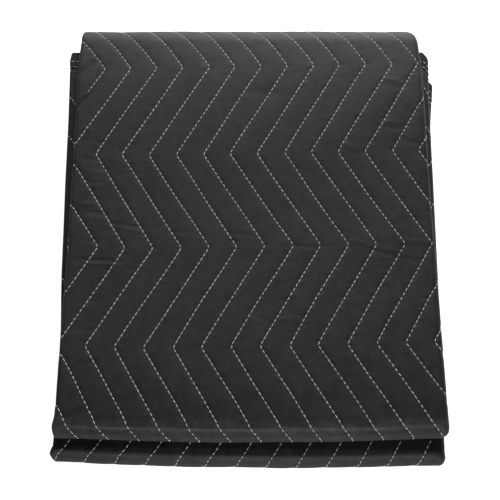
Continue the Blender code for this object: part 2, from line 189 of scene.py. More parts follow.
# How far a stitch may lie from its even place, and how much longer or shorter it may be, each with
# the radians that it varies by for each stitch and for each metre of where the row starts
STITCH_SHIFT = (0.0006, 12.9898, 7823.3)
STITCH_VARIES = (0.10, 7.31, 300)
STITCH_LOOK = 0.0004  # how far before and after a ring the path's direction is read
ROW_END = 0.001  # the length of path left free after the last stitch
LINE_END = 0.004  # how far from the cloth's ends the lines of quilting start
LINE_STEP = 0.0012
LINE_CORNER = 0.0016  # how far along the quilting's corners are rounded
LINE_WANDERS = ((0.0004, 21, 1.7), (0.0003, 57, 2.9))  # how far, and radians per metre and per line
SHORTEST_RUN = 8  # steps of a line
TAPE_ROWS = (0.0135, 0.0222)  # how far in from the edge the binding's two rows lie
TAPE_ROW_STEP = 0.0016
TAPE_ROW_END = 0.002
OVER_PAD = 0.00003  # how far the middle of the thread's path lies over the cloth
OVER_TAPE = 0.00006
UNDER_TAPE = 0.8  # at this share of the tape's height a second path gives which way is out

# How far apart the points may lie along each part of the cloth, fine where it shows
ROW_SIZES = (0.024, 0.0022, 0.0022, 0.0028, 0.024, 0.0022, 0.024)
SHOULDER_ROWS = 0.0009
SHOULDER_SPAN = 0.0080
SAME_ROW = 1e-4
SAME_COLUMN = 1e-6
# And across it: on the hidden plies, round the left and right folds, and along the end tapes on
# the top ply
HIDDEN_COLUMNS = 0.06
LEFT_COLUMNS = 0.0009
RIGHT_COLUMNS = 0.0014
TAPE_COLUMNS = 0.02
# Places across one pitch of the pattern, from one line of quilting to the next
ACROSS_PITCH = np.array((
    0.0, 0.0011, 0.0026, 0.0045, 0.0072, 0.0112, 0.0168, 0.0224, 0.0264, 0.0291, 0.0310, 0.0325,
))
TOP_LINES = np.arange(-16, 12)  # the lines of quilting that can cross the top ply
ALL_LINES = np.arange(-24, 24)  # and those that can cross any ply that shows

# Across the cloth: the second ply, the upper left fold, the top ply, the right fold round the
# whole strip, the bottom ply, the lower left fold and the third ply.
U_PARTS = (
    X_EDGE_UPPER - X_LEFT_FOLD,
    math.pi * 0.5 * PLY,
    X_RIGHT_FOLD - X_LEFT_FOLD,
    math.pi * 1.5 * PLY,
    X_RIGHT_FOLD - X_LEFT_FOLD,
    math.pi * 0.5 * PLY,
    X_EDGE_LOWER - X_LEFT_FOLD,
)
U_AT = np.concatenate(([0.0], np.cumsum(U_PARTS)))
U_END = U_AT[-1]

V_PARTS = (
    Y_END_UPPER - Y_ROLL_UPPER,
    PATTERN_ROLL,
    Y_WRAP - Y_ROLL_UPPER,
    PATTERN_WRAP,
    Y_WRAP - Y_ROLL_LOWER,
    PATTERN_ROLL,
    Y_END_LOWER - Y_ROLL_LOWER,
)
V_AT = np.concatenate(([0.0], np.cumsum(V_PARTS)))
V_END = V_AT[-1]

V_FIRST_ROW = V_AT[2] + Y_FIRST_ROW - Y_ROLL_UPPER
CORNER_ROWS = V_FIRST_ROW + HALF_PERIOD * np.arange(-8, 12)
# Nearer the floor than this the thread is pressed into the cloth, and not made: shares of the
# wrap and the lower roll, and lengths of the left and right folds
WRAP_NEAR_FLOOR = 0.93
ROLL_NEAR_FLOOR = 0.09
LEFT_NEAR_FLOOR = 0.0012
RIGHT_NEAR_FLOOR = 0.0025
# Where else the thread is made: from this share of the upper roll, up to this share of the third
# layer, and this far in from each side fold
UPPER_ROLL_SHOWS = 0.12
THIRD_LAYER_SHOWS = 0.035
SIDE_SHOWS = 0.020
LEFT_FOLD_ROOM = 0.001
TAPE_ROOM = 0.002
# Where the thread is lost from sight, in a crease at the top's left edge and on the strip that
# shows left of it: U from and to, V from and to
LOST_STITCHES = (
    (U_AT[2] - 0.008, U_AT[2] + 0.0095, V_AT[2] + 0.400, V_AT[2] + 0.433),
    (U_AT[5] - 0.020, U_AT[6], 0.138, 0.232),
)
# Where each roll's shoulder starts, a little before the layer that the roll runs up into
SHOULDERS = ((V_AT[2] - 0.0036, SHOULDER_UPPER), (V_AT[6] - 0.0068, SHOULDER_LOWER))
CORNER_SWING = [SWING * (1 - i % 2) for i in range(len(CORNER_ROWS))]

# Soft troughs and ridges, listed one by one, on the top and the rolls: the middle's X and V from the
# front of the top layer, length, width, direction in degrees from X, and height.
CREASE_SHARE = 1.25
CREASES = (
    # Along the left edge
    (-0.207, 0.459, 0.030, 0.0020, 47, -0.0024), (-0.204, 0.455, 0.026, 0.0016, 47, 0.0010),
    (-0.209, 0.413, 0.032, 0.0022, 56, -0.0018), (-0.204, 0.411, 0.026, 0.0016, 56, 0.0008),
    (-0.198, 0.328, 0.028, 0.0018, -8, -0.0004), (-0.200, 0.368, 0.024, 0.0018, -17, 0.0004),
    (-0.187, 0.310, 0.016, 0.0016, -10, 0.0005), (-0.192, 0.297, 0.025, 0.0016, -3, -0.0005),
    (-0.194, 0.268, 0.020, 0.0018, -4, 0.0007), (-0.187, 0.257, 0.027, 0.0015, -3, -0.0006),
    (-0.188, 0.249, 0.027, 0.0016, -8, 0.0005), (-0.192, 0.220, 0.024, 0.0016, 3, -0.0005),
    (-0.180, 0.195, 0.044, 0.0016, -3, -0.0007), (-0.182, 0.190, 0.042, 0.0016, -3, 0.0005),
    (-0.189, 0.143, 0.020, 0.0018, -9, -0.0005), (-0.186, 0.107, 0.026, 0.0018, -3, -0.0004),
    (-0.188, 0.067, 0.024, 0.0020, 10, -0.0004),
    # Along the right edge
    (0.193, 0.444, 0.035, 0.0024, -68, -0.0005), (0.177, 0.440, 0.026, 0.0028, -16, 0.0006),
    (0.198, 0.352, 0.022, 0.0020, -19, -0.0007), (0.174, 0.380, 0.022, 0.0018, 4, 0.0005),
    (0.178, 0.371, 0.024, 0.0018, 3, -0.0005), (0.187, 0.220, 0.026, 0.0016, -3, 0.0005),
    (0.170, 0.201, 0.057, 0.0016, -15, -0.0006), (0.172, 0.205, 0.056, 0.0016, -15, 0.0005),
    (0.200, 0.146, 0.024, 0.0018, 9, -0.0004), (0.206, 0.109, 0.024, 0.0020, 11, -0.0004),
    (0.206, 0.060, 0.020, 0.0020, 22, -0.0005),
    # Within the top and on the upper roll
    (-0.189, 0.351, 0.026, 0.0016, -17, -0.0005), (-0.146, 0.239, 0.049, 0.0015, -10, -0.0005),
    (-0.146, 0.235, 0.049, 0.0015, -10, 0.0004), (-0.139, 0.370, 0.025, 0.0018, 6, -0.0004),
    (-0.126, 0.402, 0.010, 0.0018, -20, -0.0006), (-0.084, 0.231, 0.024, 0.0015, 0, -0.0005),
    (-0.011, 0.228, 0.026, 0.0016, -9, -0.0006), (-0.019, 0.219, 0.012, 0.0018, 15, -0.0006),
    (0.064, 0.212, 0.030, 0.0015, -5, -0.0006), (0.128, 0.218, 0.030, 0.0015, -12, 0.0005),
    (0.124, 0.345, 0.025, 0.0020, -29, 0.0006), (0.131, 0.357, 0.019, 0.0016, -60, 0.0005),
    (-0.017, 0.371, 0.014, 0.0016, -60, -0.0005), (0.012, 0.127, 0.055, 0.0012, 90, -0.0004),
    (0.040, 0.121, 0.018, 0.0028, 8, 0.0005), (-0.022, 0.096, 0.016, 0.0024, 23, 0.0004),
    (-0.150, -0.004, 0.070, 0.0024, 2, 0.0005), (-0.034, -0.004, 0.089, 0.0022, -1, 0.0004),
    (0.100, -0.003, 0.080, 0.0024, -2, 0.0005), (0.020, 0.420, 0.070, 0.0060, -4, -0.0004),
)

# How the section's points close a tape's ends, in flat pieces
TAPE_CAP = ((11, 3, 2, 1, 0), (11, 10, 5, 4), (11, 4, 3), (10, 6, 5), (10, 9, 8, 7, 6))

# The weave: a rib's scale for one metre of yarn, the share that the ribs have in it, and how fine
# the yarns' noise is across the cloth and along it
RIB_SCALE = 0.225
RIB_SHARE = 0.6
WEFT_FINE = (260.0, 1700.0)
WARP_FINE = (1700.0, 200.0)
# The slow changes of shade: how fine, in how many steps, how rough, and from and to which tone
SHADE_CHANGES = (60.0, 6.0, 0.8)
SHADE_TONES = ((0.30, 0.30, 0.30), (1.62, 1.62, 1.63))

# The floor and the world glow, and look brighter to the camera than they light the pad
FLOOR_COLOUR = (0.93, 0.93, 0.93, 1)
FLOOR_GLOW = (0.35, 0.94)
WORLD_GLOW = (0.02, 1.0)
FLOOR_HALF = 6
FLOOR_DROP = 0.0002
# Each soft square light's name, place, target, width and power
LIGHTS = (
    ("back_low", (0.28, 2.2, 0.78), (0, 0.1, 0), 1.2, 62),
    ("front_low", (0.1, -1.25, 0.25), (0, -0.2, 0), 0.5, 7.4),
    ("front", (0.1, -1.25, 1.0), (0, -0.1, 0), 0.9, 1),
    ("back_high", (0.1, 1.2, 1.6), (0, 0.1, 0), 1.0, 11),
)
# The camera, fitted to the photo: the way the corner rows close up towards the back gives the
# distance, and the stack's length against its width gives the height of view
CAMERA_AT = (0.0 - MIDDLE[0], -0.489 - MIDDLE[1], 1.172)
CAMERA_AIM = (0.0 - MIDDLE[0], -0.040 - MIDDLE[1], 0.0606)
FOCAL_PIXELS = 1007
PHOTO_PIXELS = 500
SENSOR = 36.0


def smooth(a, b, x):
    """0 below a, 1 above b and a soft step between."""
    t = np.clip((np.asarray(x, float) - a) / (b - a), 0, 1)
    return t * t * (3 - 2 * t)


def between(value, low, high):
    """Which values lie between low and high."""
    return (value > low) & (value < high)


def part_of(at, value):
    """Which part of a path holds each value, and how far into it, from 0 to 1."""
    part = np.clip(np.searchsorted(at, value, side="right") - 1, 0, len(at) - 2)
    return part, (value - at[part]) / (at[part + 1] - at[part])


def fold_across(u, w):
    """Where points at u, w above the sheet's middle, lie in the strip: X and depth."""
    part, t = part_of(U_AT, u)
    length = np.array(U_PARTS)[part] * t
    left_turn = math.pi * (t - 0.5)
    right_turn = math.pi * (0.5 - t)
    left_x = X_LEFT_FOLD - (0.5 * PLY + w) * np.cos(left_turn)
    x = np.choose(part, (
        X_EDGE_UPPER - length,
        left_x,
        X_LEFT_FOLD + length,
        X_RIGHT_FOLD + (1.5 * PLY + w) * np.cos(right_turn),
        X_RIGHT_FOLD - length,
        left_x,
        X_LEFT_FOLD + length,
    ))
    depth = np.choose(part, (
        2.5 * PLY - w,
        3 * PLY + (0.5 * PLY + w) * np.sin(left_turn),
        3.5 * PLY + w,
        2 * PLY + (1.5 * PLY + w) * np.sin(right_turn),
        0.5 * PLY - w,
        PLY + (0.5 * PLY + w) * np.sin(left_turn),
        1.5 * PLY + w,
    ))
    return x, depth


def spread(table, y, column):
    """The table's value at each y."""
    rows = np.array(table)[::-1]
    return np.interp(y, rows[:, 0], rows[:, column])


def fold_along(v, depth):
    """Where the strip's points at v and depth lie: Y, Z and the layer's left and right."""
    part, t = part_of(V_AT, v)
    length = np.array(V_PARTS)[part] * t
    turn = math.pi * t
    sin, cos = np.sin(turn), np.cos(turn)
    y = np.choose(part, (
        Y_END_UPPER - length, Y_ROLL_UPPER - depth * sin, Y_ROLL_UPPER + length,
        Y_WRAP + (STRIP + depth) * sin, Y_WRAP - length, Y_ROLL_LOWER - depth * sin, Y_ROLL_LOWER + length,
    ))
    z = np.choose(part, (
        3 * STRIP - depth, 3 * STRIP - depth * cos, 3 * STRIP + depth,
        2 * STRIP + (STRIP + depth) * cos, STRIP - depth, STRIP - depth * cos, STRIP + depth,
    ))
    middle_y = np.choose(part, (
        y, Y_ROLL_UPPER - STRIP * sin, y, Y_WRAP + 2 * STRIP * sin, y, Y_ROLL_LOWER - STRIP * sin, y,
    ))
    edges = []
    for column in (1, 2):
        top, second, third, bottom = (
            spread(s, middle_y, column) for s in (SPREAD_TOP, SPREAD_SECOND, SPREAD_THIRD, SPREAD_BOTTOM)
        )
        edges.append(np.choose(part, (
            second, second * (1 - t) + top * t, top, top * (1 - t) + bottom * t,
            bottom, bottom * (1 - t) + third * t, third,
        )))
    return y, z, edges[0], edges[1]


def height_share(x, y):
    """How high the soft stack stands at x, y, as a share of its height at the folds."""
    middle = smooth(*SAG_GROWS, y) * (1 - smooth(*SAG_FADES, y))
    back = np.maximum(0.0, (y - DROP_STARTS) / DROP_REACH) ** 2
    return 1 - SAG * middle - BACK_DROP * back - SIDE_TILT * (HALF_WIDTH - x)


def folded(u, v, w):
    """The folded places, in the row frame, of the flat cloth's points at u, v and w."""
    u, v, w = np.broadcast_arrays(np.asarray(u, float), np.asarray(v, float), np.asarray(w, float))
    x, depth = fold_across(u, w)
    y, z, left, right = fold_along(v, depth)
    slant = END_SLANT_UPPER * (1 - smooth(0.0, END_REACH, v))
    slant = slant + END_SLANT_LOWER * (1 - smooth(0.0, END_REACH, V_END - v))
    y = y - slant * np.maximum(0.0, x - X_RIGHT_FOLD)
    x = left + (x + HALF_WIDTH) / (2 * HALF_WIDTH) * (right - left)
    low = z < 2 * STRIP
    z = (z - (0.5 * PLY - HALF_PAD)) * height_share(x, y)
    front = 1 - smooth(*FRONT, y)
    y = y - (BOW * (1 - (x / HALF_WIDTH) ** 2) + LOWER_SKEW * low * x / HALF_WIDTH) * front
    return np.stack((x - MIDDLE[0], y - MIDDLE[1], z), axis=-1)


def zigzag(v, x=0.0):
    """How far to the right a line of quilting is at v, near x."""
    on_top = smooth(V_AT[2] + RISE_FRONT[0], V_AT[2] + RISE_FRONT[1], v)
    on_top = on_top * (1 - smooth(V_AT[3] - RISE_BACK[0], V_AT[3] - RISE_BACK[1], v))
    rise = LEFT_RISE * on_top * smooth(*RISE_AT, -np.asarray(x, float))
    back = SLANT * np.clip(x, -SLANT_REACH, SLANT_REACH) + rise
    return np.interp(v - back, CORNER_ROWS, CORNER_SWING)


def top_x(u):
    """The X that a point at u would have with the top ply laid on flat past its folds."""
    return X_LEFT_FOLD + (u - U_AT[2])


def relief_share(v):
    """1 where the quilting shows, fading to 0 where layers lie against each other."""
    part, t = part_of(V_AT, v)
    on_lower = smooth(*LOWER_FADES_IN, t) * (1 - smooth(*LOWER_FADES_OUT, t))
    return np.choose(part, (
        0 * t, smooth(*UPPER_FADES_IN, t), 1 + 0 * t, 1 - smooth(*WRAP_FADES_OUT, t),
        0 * t, on_lower, 0 * t,
    ))


def ply_share(u):
    """1 on the strip's outer face and its two folds, fading to 0 on the plies inside."""
    left_from, left_full = (U_AT[1] + share * U_PARTS[1] for share in LEFT_FADES_IN)
    right = 1 - smooth(U_AT[3] + RIGHT_FADES_FROM * U_PARTS[3], U_AT[4], u)
    return smooth(left_from, left_full, u) * right


def drift(x, v):
    """How far to the right of the even pattern the quilting lies at x and v."""
    y = Y_ROLL_UPPER + v - V_AT[2]
    to_right = np.clip((x + DRIFT_X) / (2 * DRIFT_X), -DRIFT_PAST, 1 + DRIFT_PAST)
    return spread(DRIFT, y, 1) * (1 - to_right) + spread(DRIFT, y, 2) * to_right


def from_line(u, v):
    """How far each point is from the nearest line of quilting, across."""
    x = (top_x(u) - X_LEFT_POINT - zigzag(v, top_x(u)) - drift(top_x(u), v)) / PITCH
    return np.abs(x - np.round(x)) * PITCH


def creases(x, along):
    """The height of all the creases at x and along."""
    height_there = 0.0
    for cx, cv, length, width, degrees, height in CREASES:
        angle = math.radians(degrees)
        a = (x - cx) * math.cos(angle) + (along - cv) * math.sin(angle)
        b = -(x - cx) * math.sin(angle) + (along - cv) * math.cos(angle)
        height_there = height_there + height * np.exp(-((2 * a / length) ** 2) - (b / width) ** 2)
    return CREASE_SHARE * height_there


def puckers(x, along, away):
    """Short puckers beside the grooves, as the thread draws the cloth in."""
    turns = along / PUCKER_LENGTH + 0.7 * np.sin(31 * x) + 0.35 * np.sin(57 * x + 40 * along)
    share = np.exp(-(((away - PUCKER_AWAY) / PUCKER_REACH) ** 2))
    return PUCKER_HEIGHT * np.sin(2 * math.pi * turns) * share


def unevenness(x, along, room):
    """Slow waves over the whole cloth, fading at its side folds."""
    waves = np.sin(23 * x + 3 * np.sin(9 * along)) * np.sin(19 * along + 2 * np.sin(14 * x))
    waves = waves + 0.5 * np.sin(61 * x - 20 * along) * np.sin(47 * along + 1.0)
    return UNEVEN_HEIGHT * waves * smooth(0.0, UNEVEN_EDGE, room)


def soft_relief(u, v):
    """The outer face's height over a plain sheet: quilting grooves, puffs, creases, unevenness."""
    x = top_x(u)
    along = v - V_AT[2]
    away = from_line(u, v)
    room = np.minimum(x - X_LEFT_FOLD, X_RIGHT_FOLD - x)
    lift = PUFF - (PUFF + GROOVE_DEPTH) * np.exp(-((away / GROOVE_REACH) ** GROOVE_POWER))
    lift = lift + creases(x, along) + puckers(x, along, away) + unevenness(x, along, room)
    # Each roll bends down from the layer above it in a soft shoulder, a little flattened below
    shoulders = sum(np.interp(start - v, *np.array(table).T) for start, table in SHOULDERS)
    return (lift * relief_share(v) - shoulders * smooth(*SHOULDER_EDGE, room)) * ply_share(u)


def pad_half(u, v):
    """Half the sheet's thickness: thin under the binding tapes, full past them."""
    inside = np.minimum(np.minimum(u, U_END - u), np.minimum(v, V_END - v))
    return HALF_BOUND + (HALF_PAD - HALF_BOUND) * smooth(PRESSED_WIDTH, PRESSED_WIDTH + PRESS_SLOPE, inside)


def steps(start, end, size):
    """Even places from start to end, no further apart than size."""
    return np.linspace(start, end, max(2, int(math.ceil((end - start) / size - 1e-6)) + 1))


def v_rows():
    """The rows of points along the cloth: fine where it shows, coarse where it is hidden."""
    ends = np.array([0.0, PRESSED_WIDTH, PRESSED_WIDTH + PRESS_SLOPE / 2, PRESSED_WIDTH + PRESS_SLOPE])
    rows = [ends, V_END - ends]
    rows += [steps(V_AT[part], V_AT[part + 1], size) for part, size in enumerate(ROW_SIZES)]
    rows += [steps(start - SHOULDER_SPAN, start + SHOULDER_SPAN, SHOULDER_ROWS) for start, _ in SHOULDERS]
    rows = np.sort(np.concatenate(rows))
    return rows[np.concatenate(([True], np.diff(rows) > SAME_ROW))]


def columns_at(v, patterned):
    """The columns of points across the cloth at v. The top ply's follow the quilting."""
    press = np.array([0.0, PRESSED_WIDTH, PRESSED_WIDTH + PRESS_SLOPE])
    parts = [press, steps(press[-1], U_AT[1], HIDDEN_COLUMNS)[1:]]
    parts += [steps(U_AT[1], U_AT[2], LEFT_COLUMNS)[1:]]
    if patterned:
        even = (X_LEFT_POINT + TOP_LINES[:, None] * PITCH + ACROSS_PITCH).ravel()
        x = even + zigzag(v, even + zigzag(v))
        x = x + drift(x, v)
        x = np.clip(x, X_LEFT_FOLD, X_RIGHT_FOLD)
        # Where no quilting shows, the columns run together at the folds
        if relief_share(v) <= 0:
            x = np.where(x > 0, X_RIGHT_FOLD, X_LEFT_FOLD)
        parts.append(U_AT[2] + x - X_LEFT_FOLD)
    parts += [steps(U_AT[3], U_AT[4], RIGHT_COLUMNS), steps(U_AT[4], U_AT[5], HIDDEN_COLUMNS)[1:]]
    parts += [steps(U_AT[5], U_AT[6], LEFT_COLUMNS)[1:]]
    parts += [steps(U_AT[6], U_END - press[-1], HIDDEN_COLUMNS)[1:], U_END - press[:-1][::-1]]
    return np.concatenate(parts)


def sheet_side(rows, side):
    """One face of the sheet, a grid: its points, quads, flat coordinates and the points round its rim."""
    grid_u = np.array([columns_at(v, side > 0) for v in rows])
    grid_v = np.repeat(rows[:, None], grid_u.shape[1], axis=1)
    w = side * pad_half(grid_u, grid_v)
    if side > 0:
        w = w + soft_relief(grid_u, grid_v)
    places = folded(grid_u, grid_v, w).reshape(-1, 3)
    index = np.arange(grid_u.size).reshape(grid_u.shape)
    a, b = index[:-1, :-1].ravel(), index[:-1, 1:].ravel()
    c, d = index[1:, 1:].ravel(), index[1:, :-1].ravel()
    quads = np.stack((a, b, c, d) if side > 0 else (d, c, b, a), axis=1)
    flat = np.stack((grid_u.ravel(), grid_v.ravel()), axis=1)
    rim = np.concatenate((index[0, :-1], index[:-1, -1], index[-1, :0:-1], index[:0:-1, 0]))
    return places, quads, flat, rim


def make_object(name, places, faces, material, flat=None, smooth_faces=True):
    """A mesh object in the row frame; flat gives the cloth's own coordinates, in metres."""
    mesh = bpy.data.meshes.new(name)
    mesh.from_pydata(places.tolist(), [], faces)
    if flat is not None:
        layer = mesh.uv_layers.new(name="Cloth")
        corner = np.zeros(len(mesh.loops), dtype=np.int32)
        mesh.loops.foreach_get("vertex_index", corner)
        layer.uv.foreach_set("vector", np.ascontiguousarray(flat[corner], dtype=np.float32).ravel())
    mesh.polygons.foreach_set("use_smooth", [smooth_faces] * len(mesh.polygons))
    mesh.validate()
    mesh.update()
    obj = bpy.data.objects.new(name, mesh)
    bpy.context.scene.collection.objects.link(obj)
    mesh.materials.append(material)
    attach(obj, "root")
    return obj


def without_repeats(quads):
    """Quads with their repeated corners dropped: a quad, a triangle or nothing."""
    faces = []
    for quad in quads:
        kept = [int(i) for k, i in enumerate(quad) if i != quad[k - 1]]
        if len(set(kept)) == len(kept) and len(kept) >= 3:
            faces.append(kept)
    return faces


def make_pad(material):
    """The cloth: a closed thin sheet, both faces joined round the edge."""
    rows = v_rows()
    up, up_quads, up_flat, up_rim = sheet_side(rows, 1)
    low, low_quads, low_flat, low_rim = sheet_side(rows, -1)
    places = np.concatenate((up, low))
    flat = np.concatenate((up_flat, low_flat))
    first = np.arange(len(places))
    # Columns of the pattern that run together at a fold share one point
    for k in range(1, len(up)):
        if up_flat[k][1] == up_flat[k - 1][1] and up_flat[k][0] - up_flat[k - 1][0] < SAME_COLUMN:
            first[k] = first[k - 1]
    faces = without_repeats(first[np.concatenate((up_quads, low_quads + len(up)))])
    # Both rims have points at the same flat places, and a strip of quads joins them
    upper = {tuple(np.round(flat[k], 7)): int(k) for k in first[up_rim]}
    matched = [(upper[tuple(np.round(flat[k], 7))], int(k)) for k in low_rim + len(up)]
    for (a, b), (c, d) in zip(matched, matched[1:] + matched[:1]):
        faces.append([a, b, d, c])
    used = np.unique(np.concatenate(faces))
    renumber = -np.ones(len(places), dtype=int)
    renumber[used] = np.arange(len(used))
    faces = [[int(renumber[i]) for i in face] for face in faces]
    return make_object("pad_cloth", places[used], faces, material, flat[used])


def upper_end(u, inside, w):
    """Where points near the cloth's upper end lie, by their way in from it."""
    return folded(u, inside, w)


def lower_end(u, inside, w):
    """Where points near the cloth's lower end lie."""
    return folded(u, V_END - np.asarray(inside), w)


def upper_side(v, inside, w):
    """Where points near the side edge in the strip's upper half lie."""
    return folded(inside, v, w)


def lower_side(v, inside, w):
    """Where points near the side edge in the strip's lower half lie."""
    return folded(U_END - np.asarray(inside), v, w)


def end_stations():
    """Where an end tape's sections lie across the cloth."""
    return np.sort(np.concatenate((columns_at(0.0, False), steps(U_AT[2], U_AT[3], TAPE_COLUMNS)[1:-1])))


def side_stations():
    """Where a side tape's sections lie along the cloth, between the end tapes."""
    start = PRESSED_WIDTH + 2 * CLEAR
    rows = v_rows()
    rows = rows[between(rows, start + CLEAR, V_END - start - CLEAR)]
    return np.concatenate(([start], rows[::2], [V_END - start]))


def tape_section():
    """The binding's section over an edge: distance in from the edge, and height, all round."""
    inner = HALF_BOUND + CLEAR
    outer = inner + TAPE
    crown = TAPE_WIDTH * TAPE_CROWN_AT
    return np.array((
        (TAPE_WIDTH, inner), (TAPE_WIDTH, outer), (crown, outer + TAPE_CROWN), (0.0, outer),
        (-CLEAR - TAPE, inner * TAPE_TURN), (-CLEAR - TAPE, -inner * TAPE_TURN),
        (0.0, -outer), (crown, -outer - TAPE_CROWN), (TAPE_WIDTH, -outer), (TAPE_WIDTH, -inner),
        (-CLEAR, -inner), (-CLEAR, inner),
    ))


def make_tape(name, stations, place, material):
    """A binding tape: its section swept along the stations, with closed ends."""
    section = tape_section()
    count = len(section)
    along_section = np.concatenate(([0.0], np.cumsum(np.hypot(*np.diff(section, axis=0).T))))
    rings = []
    flats = []
    for s in stations:
        wave = sum(height * math.sin(s * per_metre + start) for height, per_metre, start in TAPE_WAVES)
        rings.append(place(s, section[:, 0], section[:, 1] + wave * np.sign(section[:, 1])))
        flats.append(np.stack((along_section, np.full(count, s)), axis=1))
    faces = []
    for base in range(0, (len(rings) - 1) * count, count):
        for k in range(count):
            n = (k + 1) % count
            faces.append([base + k, base + count + k, base + count + n, base + n])
    last = (len(rings) - 1) * count
    for loop in TAPE_CAP:
        faces.append(list(loop))
        faces.append([last + k for k in reversed(loop)])
    tape = make_object(name, np.concatenate(rings), faces, material, np.concatenate(flats), False)
    turn_faces_out(tape.data)
    return tape


def turn_faces_out(mesh):
    """Turns all of a closed mesh's faces out."""
    bm = bmesh.new()
    bm.from_mesh(mesh)
    bmesh.ops.recalc_face_normals(bm, faces=bm.faces[:])
    bm.to_mesh(mesh)
    bm.free()


def at_length(values, length, at):
    """The values that a path has at one length along it."""
    return np.array([np.interp(at, length, values[:, k]) for k in range(3)])


def stitch_row(path, normals):
    """Beads of thread along a path: one stitch each STITCH_STEP, sunk at both ends."""
    length = np.concatenate(([0.0], np.cumsum(np.linalg.norm(np.diff(path, axis=0), axis=1))))
    ring = np.linspace(0, 2 * math.pi, STITCH_SIDES, endpoint=False)
    shift, shift_by_stitch, shift_by_start = STITCH_SHIFT
    varies, varies_by_stitch, varies_by_start = STITCH_VARIES
    places = []
    faces = []
    for i in range(int((length[-1] - ROW_END) // STITCH_STEP)):
        shifted = shift * math.sin(shift_by_stitch * i + shift_by_start * path[0][0])
        middle = (i + 0.5) * STITCH_STEP + shifted
        size = STITCH_LENGTH * (1 + varies * math.sin(varies_by_stitch * i + varies_by_start * path[0][1]))
        base = len(places)
        for t, scale, lift in STITCH_SHAPE:
            at = middle + t * size
            normal = at_length(normals, length, at)
            normal /= np.linalg.norm(normal)
            forward = at_length(path, length, at + STITCH_LOOK) - at_length(path, length, at - STITCH_LOOK)
            forward /= max(np.linalg.norm(forward), 1e-9)
            across = np.cross(forward, normal)
            centre = at_length(path, length, at) + normal * lift
            for angle in ring:
                offset = across * math.cos(angle) + normal * math.sin(angle)
                places.append(centre + offset * THREAD_RADIUS * scale)
        last = base + (len(STITCH_SHAPE) - 1) * STITCH_SIDES
        for first in range(base, last, STITCH_SIDES):
            for k in range(STITCH_SIDES):
                n = (k + 1) % STITCH_SIDES
                faces.append([first + k, first + n, first + STITCH_SIDES + n, first + STITCH_SIDES + k])
        faces.append([base + k for k in reversed(range(STITCH_SIDES))])
        faces.append([last + k for k in range(STITCH_SIDES)])
    return places, faces


def make_rows(name, paths, material):
    """Rows of stitches along the given paths."""
    places = []
    faces = []
    for path, normals in paths:
        more, more_faces = stitch_row(path, normals)
        faces += [[i + len(places) for i in face] for face in more_faces]
        places += more
    return make_object(name, np.array(places), faces, material)


def surface(u, v):
    """Points a little above the cloth's outer face, and the face's normals there."""
    w = pad_half(u, v) + OVER_PAD + soft_relief(u, v)
    step = 1e-5
    here = folded(u, v, w)
    across = folded(u + step, v, w) - here
    along = folded(u, v + step, w) - here
    normal = np.cross(across, along)
    return here, normal / np.linalg.norm(normal, axis=1, keepdims=True)


def shown(u, v):
    """Where the thread can be seen from outside: the outer face and rolls, and all folded sides."""
    part, t = part_of(V_AT, v)
    open_face = (part == 2) | (part == 3) | (part == 5)
    open_face |= ((part == 1) & (t > UPPER_ROLL_SHOWS)) | ((part == 6) & (t < THIRD_LAYER_SHOWS))
    near_floor = (part == 4) | ((part == 3) & (t > WRAP_NEAR_FLOOR)) | ((part == 5) & (t < ROLL_NEAR_FLOOR))
    under = near_floor & between(u, U_AT[2] - LEFT_NEAR_FLOOR, U_AT[3] + RIGHT_NEAR_FLOOR)
    outer = (u >= U_AT[2]) & (u < U_AT[4])
    left = between(u, U_AT[1] + LEFT_FOLD_ROOM, U_AT[2] + SIDE_SHOWS)
    left |= between(u, U_AT[5] - SIDE_SHOWS, U_AT[6] - LEFT_FOLD_ROOM)
    right = between(u, U_AT[3] - SIDE_SHOWS, U_AT[4] + SIDE_SHOWS)
    clear = between(v, TAPE_WIDTH + TAPE_ROOM, V_END - TAPE_WIDTH - TAPE_ROOM)
    return ((outer & open_face) | left | right) & clear & ~under


def quilting_paths():
    """The quilting's paths on the cloth's outer face, where they show, and the normals there."""
    paths = []
    v = np.arange(LINE_END, V_END - LINE_END, LINE_STEP)
    for n in ALL_LINES:
        wander = sum(far * np.sin(v * per_metre + n * per_line) for far, per_metre, per_line in LINE_WANDERS)
        near = X_LEFT_POINT + n * PITCH + zigzag(v)
        swing = (zigzag(v - LINE_CORNER, near) + zigzag(v + LINE_CORNER, near)) / 2
        x = X_LEFT_POINT + n * PITCH + swing + wander
        x = x + drift(x, v)
        u = U_AT[2] + x - X_LEFT_FOLD
        keep = between(u, U_AT[1], U_AT[6]) & shown(np.clip(u, 0, U_END), v)
        for u_from, u_to, v_from, v_to in LOST_STITCHES:
            keep &= ~(between(u, u_from, u_to) & between(v, v_from, v_to))
        runs = np.flatnonzero(np.diff(np.concatenate(([0], keep.astype(int), [0]))))
        for a, b in zip(runs[::2], runs[1::2]):
            if b - a >= SHORTEST_RUN:
                paths.append(surface(u[a:b], v[a:b]))
    return paths


def tape_paths(stations, place):
    """Paths and normals of the rows of stitches on both leaves of a tape."""
    along = np.arange(stations[0] + TAPE_ROW_END, stations[-1] - TAPE_ROW_END, TAPE_ROW_STEP)
    outer = HALF_BOUND + CLEAR + TAPE
    paths = []
    for distance in TAPE_ROWS:
        for side in (1, -1):
            path = place(along, distance, side * (outer + OVER_TAPE))
            normal = path - place(along, distance, side * outer * UNDER_TAPE)
            paths.append((path, normal / np.linalg.norm(normal, axis=1, keepdims=True)))
    return paths


def new_material(name):
    """A new material, its node tree and its Principled shader."""
    material = bpy.data.materials.new(name)
    material.use_nodes = True
    return material, material.node_tree, material.node_tree.nodes["Principled BSDF"]


def set_inputs(tree, node, inputs):
    """Gives a node's inputs their values, or links them to other nodes' results."""
    for name, value in inputs.items():
        if isinstance(value, bpy.types.NodeSocket):
            tree.links.new(value, node.inputs[name])
        else:
            node.inputs[name].default_value = value


